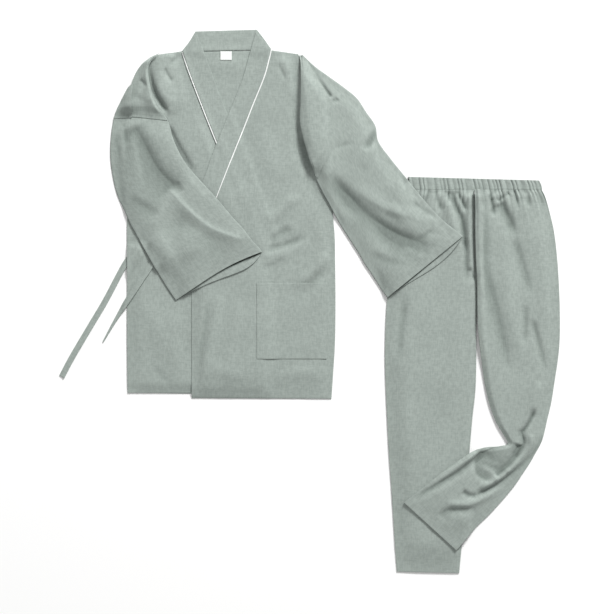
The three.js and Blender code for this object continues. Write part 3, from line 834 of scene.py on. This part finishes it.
def lay_tube(node, outline, rests_on, held="laid", **style):
    """A flattened tube of cloth: a lower wall, rolled edges and an upper wall"""
    plan = Plan(outline, style.get("spacing", 3.0), rolled=True)
    sizes = bpy.context.scene.jinbei_sizes
    thickness = sizes.cloth / MM
    lower_bow, upper_bow = style.get("cuff_lower", 0), style.get("cuff_upper", 0)
    lower_skew = style.get("lower_skew", CUFF_SKEW)
    lower_x, lower_y = bowed(plan, lower_bow, lower_skew)
    upper_x, upper_y = bowed(plan, upper_bow, CUFF_SKEW)
    if style.get("on_table"):
        base = np.zeros_like(plan.x)
    else:
        base = np.maximum(resting_height(plan, plan.x, plan.y, style),
                          resting_height(plan, lower_x, lower_y, style))
    full = 2 * thickness + sizes.hollow / MM
    edge = np.minimum(plan.from_left, plan.from_right)
    shoulder = 1 - np.clip(edge / style.get("roll", 5), 0, 1)
    open_up = np.sqrt(1 - shoulder ** 2)
    middle = base + full / 2
    half = (full - thickness) / 2
    lifted = style.get("cuff_lift", 0) * cuff_push(plan, 1, lower_skew)
    lower = middle - half * open_up + lifted
    lift, sunk = relief(plan, style)
    upper = middle + half * open_up + lift
    table_top.press(upper_x, upper_y, upper + thickness / 2, plan.spacing)
    table_top.press(lower_x, lower_y, lower + thickness / 2, plan.spacing)
    laid[node] = (plan, upper_x, upper_y, upper + thickness / 2)
    ring = [np.concatenate([low[:, ::-1], high[:, 1:]], 1)
            for low, high in ((lower_x, upper_x), (lower_y, upper_y), (lower, upper))]
    grain = grain_of(plan, dict(style, grain="along"))
    round_grain = np.concatenate([grain[:, ::-1], grain[:, 1:]], 1)
    # Painted shade on the lower wall, darkest just past the upper wall's cuff, where the inside of the
    # tube shows
    shown = (cuff_push(plan, lower_bow, lower_skew) - plan.from_end
             - upper_bow * np.sin(math.pi * plan.across ** CUFF_SKEW))
    inner = INSIDE_SHADE * smooth(shown, *SHADE_BEYOND_CUFF)
    hollow = np.concatenate([inner[:, ::-1], hollows(plan, upper, sunk)[:, 1:]], 1)
    piece = grid_mesh(f"{node}.cloth", *ring, round_grain, hollow, plan.turned(), closed=True)
    thicken(piece, thickness, 0)
    dress(piece, node, "cotton", plan, times_round=2)


def cuff_push(plan, bow, skew):
    """How far a cuff that bows outwards between its folds is pushed at each point"""
    return bow * np.sin(math.pi * plan.across ** skew) * smooth(plan.from_end, CUFF_REACH, 0)


def bowed(plan, bow, skew):
    """The grid with its last edge, the cuff, pushed outwards between its folds"""
    out_x = plan.x[-1].mean() - plan.x[-3].mean()
    out_y = plan.y[-1].mean() - plan.y[-3].mean()
    length = math.hypot(out_x, out_y)
    push = cuff_push(plan, bow, skew)
    return plan.x + push * out_x / length, plan.y + push * out_y / length


def strip_outline(route):
    """The edges of a strip along a route"""
    x, y, width = route["x"], route["y"], route["width"]
    run_x, run_y = np.gradient(x), np.gradient(y)
    length = np.hypot(run_x, run_y)
    across_x, across_y = -run_y / length * width / 2, run_x / length * width / 2
    return {"left_x": x + across_x, "left_y": y + across_y,
            "right_x": x - across_x, "right_y": y - across_y}


def beside(band, start, sizes):
    """The piping's outline, along a band's outer edge"""
    left_x, left_y, right_x, right_y = (band[name][start:] for name in EDGES.split())
    width = np.hypot(right_x - left_x, right_y - left_y)
    in_x, in_y = (right_x - left_x) / width, (right_y - left_y) / width
    near, far = sizes.seam_gap / MM, (sizes.seam_gap + sizes.piping) / MM
    return {"left_x": left_x - in_x * far, "left_y": left_y - in_y * far,
            "right_x": left_x - in_x * near, "right_y": left_y - in_y * near}


def lay_piped_band(side, outline, piped_from, under, seed, sizes):
    """A collar band and the piping in its outer seam, side by side on the front"""
    bare = table_top.heights.copy()
    lay_sheet(f"collar_{side}", outline, [under], thickness=sizes.band / MM,
              swell=0.4, seed=seed, fade_left=8, fade_right=8)
    banded = table_top.heights
    table_top.heights = bare
    lay_sheet(f"piping_{side}", beside(outline, piped_from, sizes), [under],
              slot="white_trim", spacing=1.25, near=1, wide=1, thickness=sizes.cord / MM,
              times_round=(sizes.piping + sizes.cord) / sizes.piping)
    table_top.heights = np.maximum(banded, table_top.heights)


def stitch_route(node, side, inset):
    """A line on a piece's top, so far inside one of its edges"""
    plan, x, y, top = laid[node]
    rows, columns = x.shape
    if side in ("start", "end"):
        run = inset / plan.length * (rows - 1)
        row = np.full(ROUTE_STEPS, run if side == "start" else rows - 1 - run)
        column = np.linspace(0, columns - 1, ROUTE_STEPS)
    else:
        row = np.linspace(0, rows - 1, ROUTE_STEPS)
        wide = np.interp(row, np.arange(rows), (plan.from_left + plan.from_right)[:, 0])
        share = inset / wide if side == "left" else 1 - inset / wide
        column = np.interp(share, plan.across[0], np.arange(columns))
    return np.stack([between(grid, row, column) for grid in (x, y, top)], -1)


def sew(whole, route, sizes):
    """A row of stitches along a route, each a small bead of thread"""
    work = bmesh.new()
    steps = np.hypot(*np.diff(route[:, :2], axis=0).T)
    travelled = np.concatenate([[0], np.cumsum(steps)])
    pitch = sizes.stitch_pitch / MM
    size = Vector((STITCH_SHARE * pitch, sizes.thread / MM, sizes.thread / MM / 2)) * MM / 2
    for start in np.arange(pitch / 2, travelled[-1] - pitch, pitch):
        ends = [Vector([np.interp(place, travelled, route[:, axis]) for axis in range(3)])
                for place in (start, start + STITCH_SHARE * pitch)]
        turn = (ends[1] - ends[0]).to_track_quat("X", "Z")
        matrix = Matrix.LocRotScale((ends[0] + ends[1]) * MM / 2, turn, size)
        bmesh.ops.create_uvsphere(work, u_segments=5, v_segments=4, radius=1, matrix=matrix)
    row = bpy.data.meshes.new("row of stitches")
    work.to_mesh(row)
    work.free()
    whole.from_mesh(row)
    bpy.data.meshes.remove(row)


# The gathers along the waist: the waves that make their spacing uneven, each with its
# height, pace and phase, those of their strength and of their length, which start with a
# middle and a least value, how round a rib is, and how it dies away down the leg
GATHER_DRIFT = ((0.26, 1.7, 1), (0.2, 0.73, 0))
GATHER_STRENGTH = (0.72, 0.28, 2.3, 2)
GATHER_REACH = (0.45, 0.75, 1.31, 0.6)
GATHER_ROUNDING = 0.8
GATHER_FALL = 1.4


def gather_wave(sizes, share=1):
    """Uneven gathers that start at the waist seam and die away down the leg"""
    seam_left, seam_right = WAISTBAND["left_x"][0], WAISTBAND["right_x"][0]
    seam_y = WAISTBAND["left_y"][0]

    def wave(plan):
        at_seam = plan.x[0, 0] + (plan.x[0, -1] - plan.x[0, 0]) * plan.across
        place = sizes.gathers * (at_seam - seam_left) / (seam_right - seam_left)
        uneven = sum(height * np.sin(pace * place + phase) for height, pace, phase in GATHER_DRIFT)
        ribs = np.abs(np.sin(math.pi * (place + uneven))) ** GATHER_ROUNDING
        middle, height, pace, phase = GATHER_STRENGTH
        strength = middle + height * np.sin(pace * place + phase)
        shortest, longer, pace, phase = GATHER_REACH
        reach = sizes.gather_length / MM * (shortest + longer * np.sin(pace * place + phase) ** 2)
        below = np.maximum(seam_y - plan.y, 0)
        fading = np.exp(-((below / reach) ** GATHER_FALL))
        return share * sizes.gather_height / MM * ribs * strength * fading

    return wave


# Finishes

class Value:
    """A shader socket that adds a Math node wherever arithmetic is done with it"""

    def __init__(self, graph, socket):
        self.graph = graph
        self.socket = socket

    def math(self, operation, *values):
        inputs = dict(enumerate(values))
        return self.graph.node("ShaderNodeMath", {"operation": operation}, inputs)

    def __add__(self, other):
        return self.math("ADD", self, other)

    __radd__ = __add__

    def __sub__(self, other):
        return self.math("SUBTRACT", self, other)

    def __rsub__(self, other):
        return self.math("SUBTRACT", other, self)

    def __mul__(self, other):
        return self.math("MULTIPLY", self, other)

    __rmul__ = __mul__

    def sine(self):
        return self.math("SINE", self)


class Graph:
    """The nodes of one material"""

    def __init__(self, material):
        material.use_nodes = True
        self.tree = material.node_tree
        self.tree.nodes.clear()

    def node(self, kind, settings=None, inputs=None, output=0):
        """Adds a node, sets it up, fills or links its inputs and returns an output"""
        made = self.tree.nodes.new(kind)
        for name, setting in (settings or {}).items():
            setattr(made, name, setting)
        for name, value in (inputs or {}).items():
            if isinstance(value, Value):
                self.tree.links.new(value.socket, made.inputs[name])
            else:
                made.inputs[name].default_value = value
        return Value(self, made.outputs[output]) if len(made.outputs) else None

    def mixed(self, share, first, second):
        """A mix of two colours"""
        settings = {"data_type": "RGBA", "clamp_factor": True}
        return self.node("ShaderNodeMix", settings, {0: share, 6: first, 7: second}, 2)

    def grain(self):
        """The place on the woven cloth, and its two parts: across the warp and along it"""
        place = self.node("ShaderNodeUVMap", {"uv_map": "cloth"})
        across = self.node("ShaderNodeSeparateXYZ", {}, {0: place})
        return place, across, Value(self, across.socket.node.outputs[1])

    def bump(self, height, strength, distance):
        """Relief that is too fine for the mesh"""
        inputs = {"Height": height, "Strength": strength, "Distance": distance}
        return self.node("ShaderNodeBump", {}, inputs)

    def surface(self, inputs):
        """The shader, and the material's output"""
        shader = self.node("ShaderNodeBsdfPrincipled", {}, inputs)
        self.node("ShaderNodeOutputMaterial", {}, {"Surface": shader})

    def speckle(self, scale, detail):
        """Noise in the object's own space"""
        place = self.node("ShaderNodeTexCoord", {}, {}, "Object")
        return self.node("ShaderNodeTexNoise", {}, {"Vector": place, "Scale": scale, "Detail": detail})

    def streaks(self, place, across, along, detail):
        """Noise drawn out along the yarns, with so many streaks a metre each way"""
        stretched = self.node("ShaderNodeVectorMath", {"operation": "MULTIPLY"},
                              {0: place, 1: (across, along, 1.0)})
        return self.node("ShaderNodeTexNoise", {"noise_dimensions": "2D"},
                         {"Vector": stretched, "Scale": 1.0, "Detail": detail, "Roughness": 0.55})


def tone(colour, share):
    """A colour made darker or paler"""
    return (*(channel * share for channel in colour[:3]), 1.0)


# Painted shade: how much darker the cloth's colour is made deep in a crease, and how deep that is in
# millimetres
CREASE_SHADE_TINT = (0.56, 0.58, 0.57)
CREASE_DEPTH = 6.0

# The painted shade inside a sleeve, a near black colour, and how much deeper than a crease it lies
INSIDE_SHADE_COLOUR = (0.025, 0.03, 0.027, 1.0)
INSIDE_DEPTH = 5.0

# Streaks a metre across the warp and along it, and their detail
WARP_SLUBS = (380.0, 62.0, 3.0)
WEFT_SLUBS = (58.0, 330.0, 3.0)
FINE_WARP = (1500.0, 160.0, 1.0)
FINE_WEFT = (150.0, 1400.0, 1.0)
BLOTCHES = (130.0, 100.0, 3.0)
CLOUDS = (14.0, 11.0, 2.0)
TAPE_SPECKS = (900.0, 900.0, 1.0)


def slub_cotton(material, sizes, colours):
    """Plain weave with thick and thin yarns both ways, with shade painted into its creases and inside
    its sleeves
    """
    graph = Graph(material)
    place, across, along = graph.grain()
    warp_slubs = graph.streaks(place, *WARP_SLUBS)
    weft_slubs = graph.streaks(place, *WEFT_SLUBS)
    fine_warp = graph.streaks(place, *FINE_WARP)
    fine_weft = graph.streaks(place, *FINE_WEFT)
    blotches = graph.streaks(place, *BLOTCHES)
    cloudy = graph.streaks(place, *CLOUDS)
    slubs = warp_slubs * 0.55 + weft_slubs * 0.45
    fine = fine_warp * 0.5 + fine_weft * 0.5
    mask = ((slubs - 0.5) * sizes.slub_contrast + (fine - 0.5) * 1.8 + (blotches - 0.5) * 1.6
            + (cloudy - 0.5) * 0.6 + 0.5)
    pale, deep = tone(colours.cotton, 1.10), tone(colours.cotton, 0.90)
    # Painted shade: the colour darkens by the crease tint as the hollow attribute deepens, and turns
    # near black where it is deeper still, as inside a sleeve's mouth
    hollow = graph.node("ShaderNodeAttribute", {"attribute_name": "hollow"}, {}, 2)
    plain = graph.mixed(mask, deep, pale)
    shaded = graph.node("ShaderNodeVectorMath", {"operation": "MULTIPLY"}, {0: plain, 1: CREASE_SHADE_TINT})
    crease_shaded = graph.mixed(hollow * (1 / CREASE_DEPTH), plain, shaded)
    base = graph.mixed(hollow * (1 / INSIDE_DEPTH) - CREASE_DEPTH / INSIDE_DEPTH, crease_shaded, INSIDE_SHADE_COLOUR)
    turn = 2 * math.pi / sizes.yarn_pitch
    weave = (across * turn).sine() * (along * turn).sine()
    height = weave * 0.35 + slubs * 1.2 + fine * 0.6
    graph.surface({
        "Base Color": base, "Roughness": 0.86 + fine * 0.12, "Normal": graph.bump(height, 0.5, 0.00012),
        "Specular IOR Level": 0.25, "Sheen Weight": 0.12, "Sheen Roughness": 0.5,
    })


def white_trim(material, sizes, colours):
    """Smooth white tape with a fine twill line"""
    graph = Graph(material)
    place, across, along = graph.grain()
    turn = 2 * math.pi / sizes.yarn_pitch
    twill = ((across + along) * turn).sine()
    speck = graph.streaks(place, *TAPE_SPECKS)
    base = graph.mixed(speck, tone(colours.trim, 0.95), tone(colours.trim, 1.02))
    graph.surface({"Base Color": base, "Roughness": 0.7, "Normal": graph.bump(twill, 0.3, 0.00008),
                   "Specular IOR Level": 0.3})


def thread(material, sizes, colours):
    """Sewing thread, a little paler than the cloth"""
    graph = Graph(material)
    twist = graph.speckle(1800.0, 1.0)
    base = graph.mixed(twist, tone(colours.cotton, 1.0), tone(colours.cotton, 1.25))
    graph.surface({"Base Color": base, "Roughness": 0.75, "Normal": graph.bump(twist, 0.4, 0.00005),
                   "Specular IOR Level": 0.3})


FINISHES = {"cotton": slub_cotton, "white_trim": white_trim, "thread": thread}


def finish(slot):
    """The material of a slot, made once"""
    name = f"jinbei_{slot}"
    if name not in bpy.data.materials:
        scene = bpy.context.scene
        FINISHES[slot](bpy.data.materials.new(name), scene.jinbei_sizes, scene.jinbei_colours)
    return bpy.data.materials[name]


# Sizes and colours

def length_property(name, description, millimetres):
    return FloatProperty(name=name, description=description, default=millimetres * MM,
                         subtype="DISTANCE", unit="LENGTH", precision=5)


def colour_property(name, description, colour):
    return FloatVectorProperty(name=name, description=description, default=colour,
                               subtype="COLOR", size=3, min=0, max=1)


class JinbeiSizes(PropertyGroup):
    cloth: length_property("Cloth", "Thickness of one layer of cotton", 1.0)
    band: length_property("Band", "Thickness of the collar band and the ties", 1.8)
    gap: length_property("Gap", "Clearance between pieces that lie on each other", 0.3)
    hollow: length_property("Hollow", "Air between the walls of a flattened tube", 1.2)
    cord: length_property("Piping cord", "Thickness of the piping", 1.9)
    piping: length_property("Piping", "Width of the white piping that shows", 3.0)
    seam_gap: length_property("Seam gap", "Between the piping and the band that it edges", 0.3)
    thread: length_property("Thread", "Thickness of the sewing thread", 0.45)
    stitch_pitch: length_property("Stitch pitch", "From one stitch to the next", 4.5)
    gather_height: length_property("Gather height", "Height of the waist gathers", 5.5)
    gather_length: length_property("Gather length", "How far the gathers run down", 42)
    gathers: IntProperty(name="Gathers", description="Gathers across the waistband's front", default=27)
    fold_depth: FloatProperty(name="Fold depth", description="How strongly the folds stand out",
                              default=1.0)
    yarn_pitch: length_property("Yarn pitch", "Distance between two yarns of the weave", 0.9)
    slub_contrast: FloatProperty(name="Slub contrast", description="How far thick yarns stand out",
                                 default=3.2)


class JinbeiColours(PropertyGroup):
    cotton: colour_property("Cotton", "Sage green of the cloth", (0.300, 0.342, 0.316))
    trim: colour_property("Trim", "White of the piping and the label", (0.80, 0.82, 0.80))
    floor: colour_property("Floor", "Pale surface that the set lies on", (0.93, 0.93, 0.925))


# Pieces

# How far a tie's lower edge stands off what it lies on
TIE_TWIST = 2.0

# How high the gathers stand on the band itself, as a share of those below it
BAND_GATHERS = 0.6

# Rows of stitches, by the edge that each runs along and its distance from it
SEAMS = (
    ("front_right", "start", 18), ("front_left", "start", 18), ("front_left", "left", 9),
    ("pocket", "left", 2.5), ("pocket", "right", 2.5), ("pocket", "start", 2.5), ("pocket", "end", 16),
    ("sleeve_right", "end", 20), ("sleeve_left", "end", 20),
    ("leg_right_front", "end", 24), ("leg_left_front", "end", 24), ("waistband", "start", 2.5),
)


class PieceOperator:
    """What the operators of the pieces share"""

    bl_options = {"REGISTER", "UNDO"}

    def execute(self, context):
        self.lay(context.scene.jinbei_sizes)
        return {"FINISHED"}


def tie_twist(plan):
    """The slight turn of a tie about its length"""
    return TIE_TWIST * (1 - plan.across) ** 2


def lay_tie(node, route, under, sizes):
    """A tie along its route"""
    lay_sheet(node, strip_outline(route), [under], thickness=sizes.band / MM, spacing=2.5,
              grain="along", wave=tie_twist)


class JINBEI_OT_back(PieceOperator, Operator):
    """Lay the back panel, the side tie, the back of the collar band and the label"""

    bl_idname = "jinbei.back"
    bl_label = "Back"

    def lay(self, sizes):
        lay_sheet("back", BACK, ["floor"], spacing=7, folds=BACK_FOLDS)
        lay_tie("tie_side", TIE_SIDE, "back", sizes)
        lay_sheet("collar_back", COLLAR_BACK, ["back"], swell=0.5, seed=3, fade_start=8, fade_end=8)
        lay_sheet("label", LABEL, ["back"], slot="white_trim", thickness=0.6, spacing=1.5)


class JINBEI_OT_front_right(PieceOperator, Operator):
    """Lay the right front, its piping and its collar band"""

    bl_idname = "jinbei.front_right"
    bl_label = "Right front"

    def lay(self, sizes):
        lay_sheet("front_right", FRONT_RIGHT, ["back"], loft=3.5, swell=1.0, seed=4,
                  spacing=3.1, folds=FRONT_RIGHT_FOLDS, fade_left=40, fade_end=8, keep_end=0.3,
                  keep_left=0.2)
        lay_piped_band("right", COLLAR_RIGHT, 3, "front_right", 5, sizes)


class JINBEI_OT_front_left(PieceOperator, Operator):
    """Lay the left front, its piping, its collar band and the pocket"""

    bl_idname = "jinbei.front_left"
    bl_label = "Left front"

    def lay(self, sizes):
        lay_sheet("front_left", FRONT_LEFT, ["front_right", "back"], loft=3.6, swell=1.1, seed=6,
                  spacing=2.8, folds=FRONT_LEFT_FOLDS, fade_start=60, fade_left=30, fade_right=40)
        lay_piped_band("left", COLLAR_LEFT, 1, "front_left", 7, sizes)
        lay_sheet("pocket", POCKET, ["front_left"], thickness=0.45, swell=0.4, seed=8,
                  keep_right=0.5)


class JINBEI_OT_tie_front(PieceOperator, Operator):
    """Lay the tie that comes from the edge of the left front"""

    bl_idname = "jinbei.tie_front"
    bl_label = "Front tie"

    def lay(self, sizes):
        lay_tie("tie_front", TIE_FRONT, "front_right", sizes)


class JINBEI_OT_trousers(PieceOperator, Operator):
    """Lay the straight leg, then the bent one over it, and the waistband"""

    bl_idname = "jinbei.trousers"
    bl_label = "Trousers"

    def lay(self, sizes):
        by_the_seam = {"fade": 12, "keep": 0.35}
        outside = {"fade": 45, "keep": 0.15}
        legs = (("leg_right", LEG_RIGHT, LEG_RIGHT_FOLDS, ["floor"], 9, outside, by_the_seam),
                ("leg_left", LEG_LEFT, LEG_LEFT_FOLDS, ["leg_right_front"], 10, by_the_seam, outside))
        for name, outline, folds, under, seed, left, right in legs:
            edges = {"fade_left": left["fade"], "keep_left": left["keep"],
                     "fade_right": right["fade"], "keep_right": right["keep"]}
            lay_sheet(f"{name}_back", outline, under, spacing=6, grain="along")
            lay_sheet(f"{name}_front", outline, [f"{name}_back"], loft=7.5, swell=1.1, seed=seed,
                      spacing=2.8, folds=folds, wave=gather_wave(sizes), grain="along",
                      fade_start=16, keep_start=0.35, fade_end=70, keep_end=0.1, **edges)
        lay_tube("waistband", WAISTBAND, ["floor"], held="gathered", spacing=1.5, on_table=True,
                 roll=4, wave=gather_wave(sizes, BAND_GATHERS))


class JINBEI_OT_sleeve_right(PieceOperator, Operator):
    """Lay the right sleeve across the front, and the shoulder that folds over it"""

    bl_idname = "jinbei.sleeve_right"
    bl_label = "Right sleeve"

    def lay(self, sizes):
        lay_tube("sleeve_right", SLEEVE_RIGHT, ["front_right", "front_left"], held="folded",
                 spacing=2.5, bridge=10, loft=8.0, swell=0.9, seed=11, folds=SLEEVE_RIGHT_FOLDS,
                 fade_start=70, fade_end=80, keep_end=0.3, fade_left=50, fade_right=20, keep_right=0.85,
                 cuff_upper=-8, cuff_lower=15, lower_skew=2.6, cuff_lift=2.0)
        over_sleeve = {"held": "folded", "loft": 6.5, "thickness": 0.5, "near": 1, "wide": 1,
                       "bridge": 9, "spacing": 2.2, "swell": 0.8, "seed": 12, "fade_end": 30,
                       "close_at": ("end",)}
        lay_sheet("shoulder_right", SHOULDER_RIGHT, ["sleeve_right"], folds=SHOULDER_RIGHT_FOLDS,
                  keep_left=1, fade_right=6, keep_right=0.4, **over_sleeve)
        lay_sheet("sleeve_right_head", SLEEVE_RIGHT_HEAD, ["sleeve_right"],
                  folds=SLEEVE_RIGHT_HEAD_FOLDS, fade_left=26, keep_right=1, **over_sleeve)


class JINBEI_OT_sleeve_left(PieceOperator, Operator):
    """Lay the sleeve that reaches over the trousers, and the left shoulder's fold over its start"""

    bl_idname = "jinbei.sleeve_left"
    bl_label = "Left sleeve"

    def lay(self, sizes):
        lay_tube("sleeve_left", SLEEVE_LEFT, ["front_left", "waistband"], held="folded",
                 spacing=2.5, bridge=10, loft=8.0, swell=0.9, seed=15, folds=SLEEVE_LEFT_FOLDS,
                 fade_start=70, fade_end=80, keep_end=0.3, fade_left=60, keep_left=0.2,
                 fade_right=50, keep_right=0.2, cuff_lower=14, lower_skew=1.6, cuff_lift=1.0)
        lay_sheet("shoulder_left", SHOULDER_LEFT, ["front_left", "sleeve_left"], held="folded",
                  loft=3, thickness=0.5, near=1, wide=1, bridge=8, close_at=("right", "end"),
                  spacing=2.2, swell=0.6, seed=14, folds=SHOULDER_LEFT_FOLDS, fade_left=6,
                  keep_left=0.6, fade_right=26)


class JINBEI_OT_stitching(PieceOperator, Operator):
    """Sew the hems, the cuffs and the pocket"""

    bl_idname = "jinbei.stitching"
    bl_label = "Stitching"

    def lay(self, sizes):
        work = bmesh.new()
        for node, side, inset in SEAMS:
            sew(work, stitch_route(node, side, inset), sizes)
        piece = made_object("stitching", work)
        piece.data.materials.append(finish("thread"))
        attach(piece, "root")


# Stage

# The middle and the height of the view, in millimetres
VIEW_CENTRE = (-22.0, -12.1)
VIEW_HEIGHT = 1350.8

# In metres, and the sensor in millimetres
CAMERA_HEIGHT = 4.0
CAMERA_REACH = 100
SENSOR = 36.0
FLOOR_SIZE = 12.0

# Each light's name, its place and size in metres, and its watts
LIGHTS = (("key", (3.0, 6.5, 4.4), 2.4, 900), ("fill", (-1.0, 0.5, 6.0), 5.0, 70))
SKY_STRENGTH = 0.38


class JINBEI_OT_stage(Operator):
    """Add the floor, the soft lights and the camera"""

    bl_idname = "jinbei.stage"
    bl_label = "Stage"

    def execute(self, context):
        scene = context.scene
        add_floor(scene)
        scene.view_settings.view_transform = "Standard"
        for light in LIGHTS:
            add_light(*light)
        world = bpy.data.worlds.new("studio")
        world.use_nodes = True
        sky = world.node_tree.nodes["Background"].inputs
        sky["Color"].default_value = (1, 1, 1, 1)
        sky["Strength"].default_value = SKY_STRENGTH
        scene.world = world
        add_camera(scene)
        return {"FINISHED"}


def add_floor(scene):
    """A pale floor of smooth paper"""
    work = bmesh.new()
    bmesh.ops.create_grid(work, x_segments=2, y_segments=2, size=FLOOR_SIZE / 2)
    floor = made_object("floor", work, smooth_faces=False)
    material = bpy.data.materials.new("jinbei_floor")
    graph = Graph(material)
    colour = scene.jinbei_colours.floor
    base = graph.mixed(graph.speckle(260.0, 2.0), tone(colour, 0.99), tone(colour, 1.0))
    graph.surface({"Base Color": base, "Roughness": 0.9, "Specular IOR Level": 0.1})
    floor.data.materials.append(material)


def add_light(name, place, size, watts):
    """A round area light that faces the middle of the floor"""
    lamp = bpy.data.lights.new(name, "AREA")
    lamp.shape = "DISK"
    lamp.size = size
    lamp.energy = watts
    light = bpy.data.objects.new(name, lamp)
    light.location = place
    light.rotation_euler = (-Vector(place)).to_track_quat("-Z", "Y").to_euler()
    bpy.context.scene.collection.objects.link(light)


def add_camera(scene):
    """A camera that looks straight down"""
    lens = bpy.data.cameras.new("camera")
    lens.sensor_width = SENSOR
    lens.lens = SENSOR * CAMERA_HEIGHT / (VIEW_HEIGHT * MM)
    lens.clip_end = CAMERA_REACH
    camera = bpy.data.objects.new("camera", lens)
    camera.location = (VIEW_CENTRE[0] * MM, VIEW_CENTRE[1] * MM, CAMERA_HEIGHT)
    scene.collection.objects.link(camera)
    scene.camera = camera


class JINBEI_PT_panel(Panel):
    """The set's sizes, colours and pieces"""

    bl_label = "Jinbei"
    bl_idname = "JINBEI_PT_panel"
    bl_space_type = "VIEW_3D"
    bl_region_type = "UI"
    bl_category = "Jinbei"

    def draw(self, context):
        for group in (context.scene.jinbei_sizes, context.scene.jinbei_colours):
            for name in group.__annotations__:
                self.layout.prop(group, name)
        for operator in OPERATORS:
            self.layout.operator(operator.bl_idname)


OPERATORS = (JINBEI_OT_back, JINBEI_OT_front_right, JINBEI_OT_front_left, JINBEI_OT_tie_front,
             JINBEI_OT_trousers, JINBEI_OT_sleeve_right, JINBEI_OT_sleeve_left,
             JINBEI_OT_stitching, JINBEI_OT_stage)
CLASSES = (JinbeiSizes, JinbeiColours, *OPERATORS, JINBEI_PT_panel)


def register():
    for entry in CLASSES:
        bpy.utils.register_class(entry)
    bpy.types.Scene.jinbei_sizes = PointerProperty(type=JinbeiSizes)
    bpy.types.Scene.jinbei_colours = PointerProperty(type=JinbeiColours)


def unregister():
    del bpy.types.Scene.jinbei_colours
    del bpy.types.Scene.jinbei_sizes
    for entry in reversed(CLASSES):
        bpy.utils.unregister_class(entry)


def main():
    register()
    for operator in OPERATORS:
        getattr(bpy.ops.jinbei, operator.bl_idname.split(".")[1])()


if __name__ == "__main__":
    main()
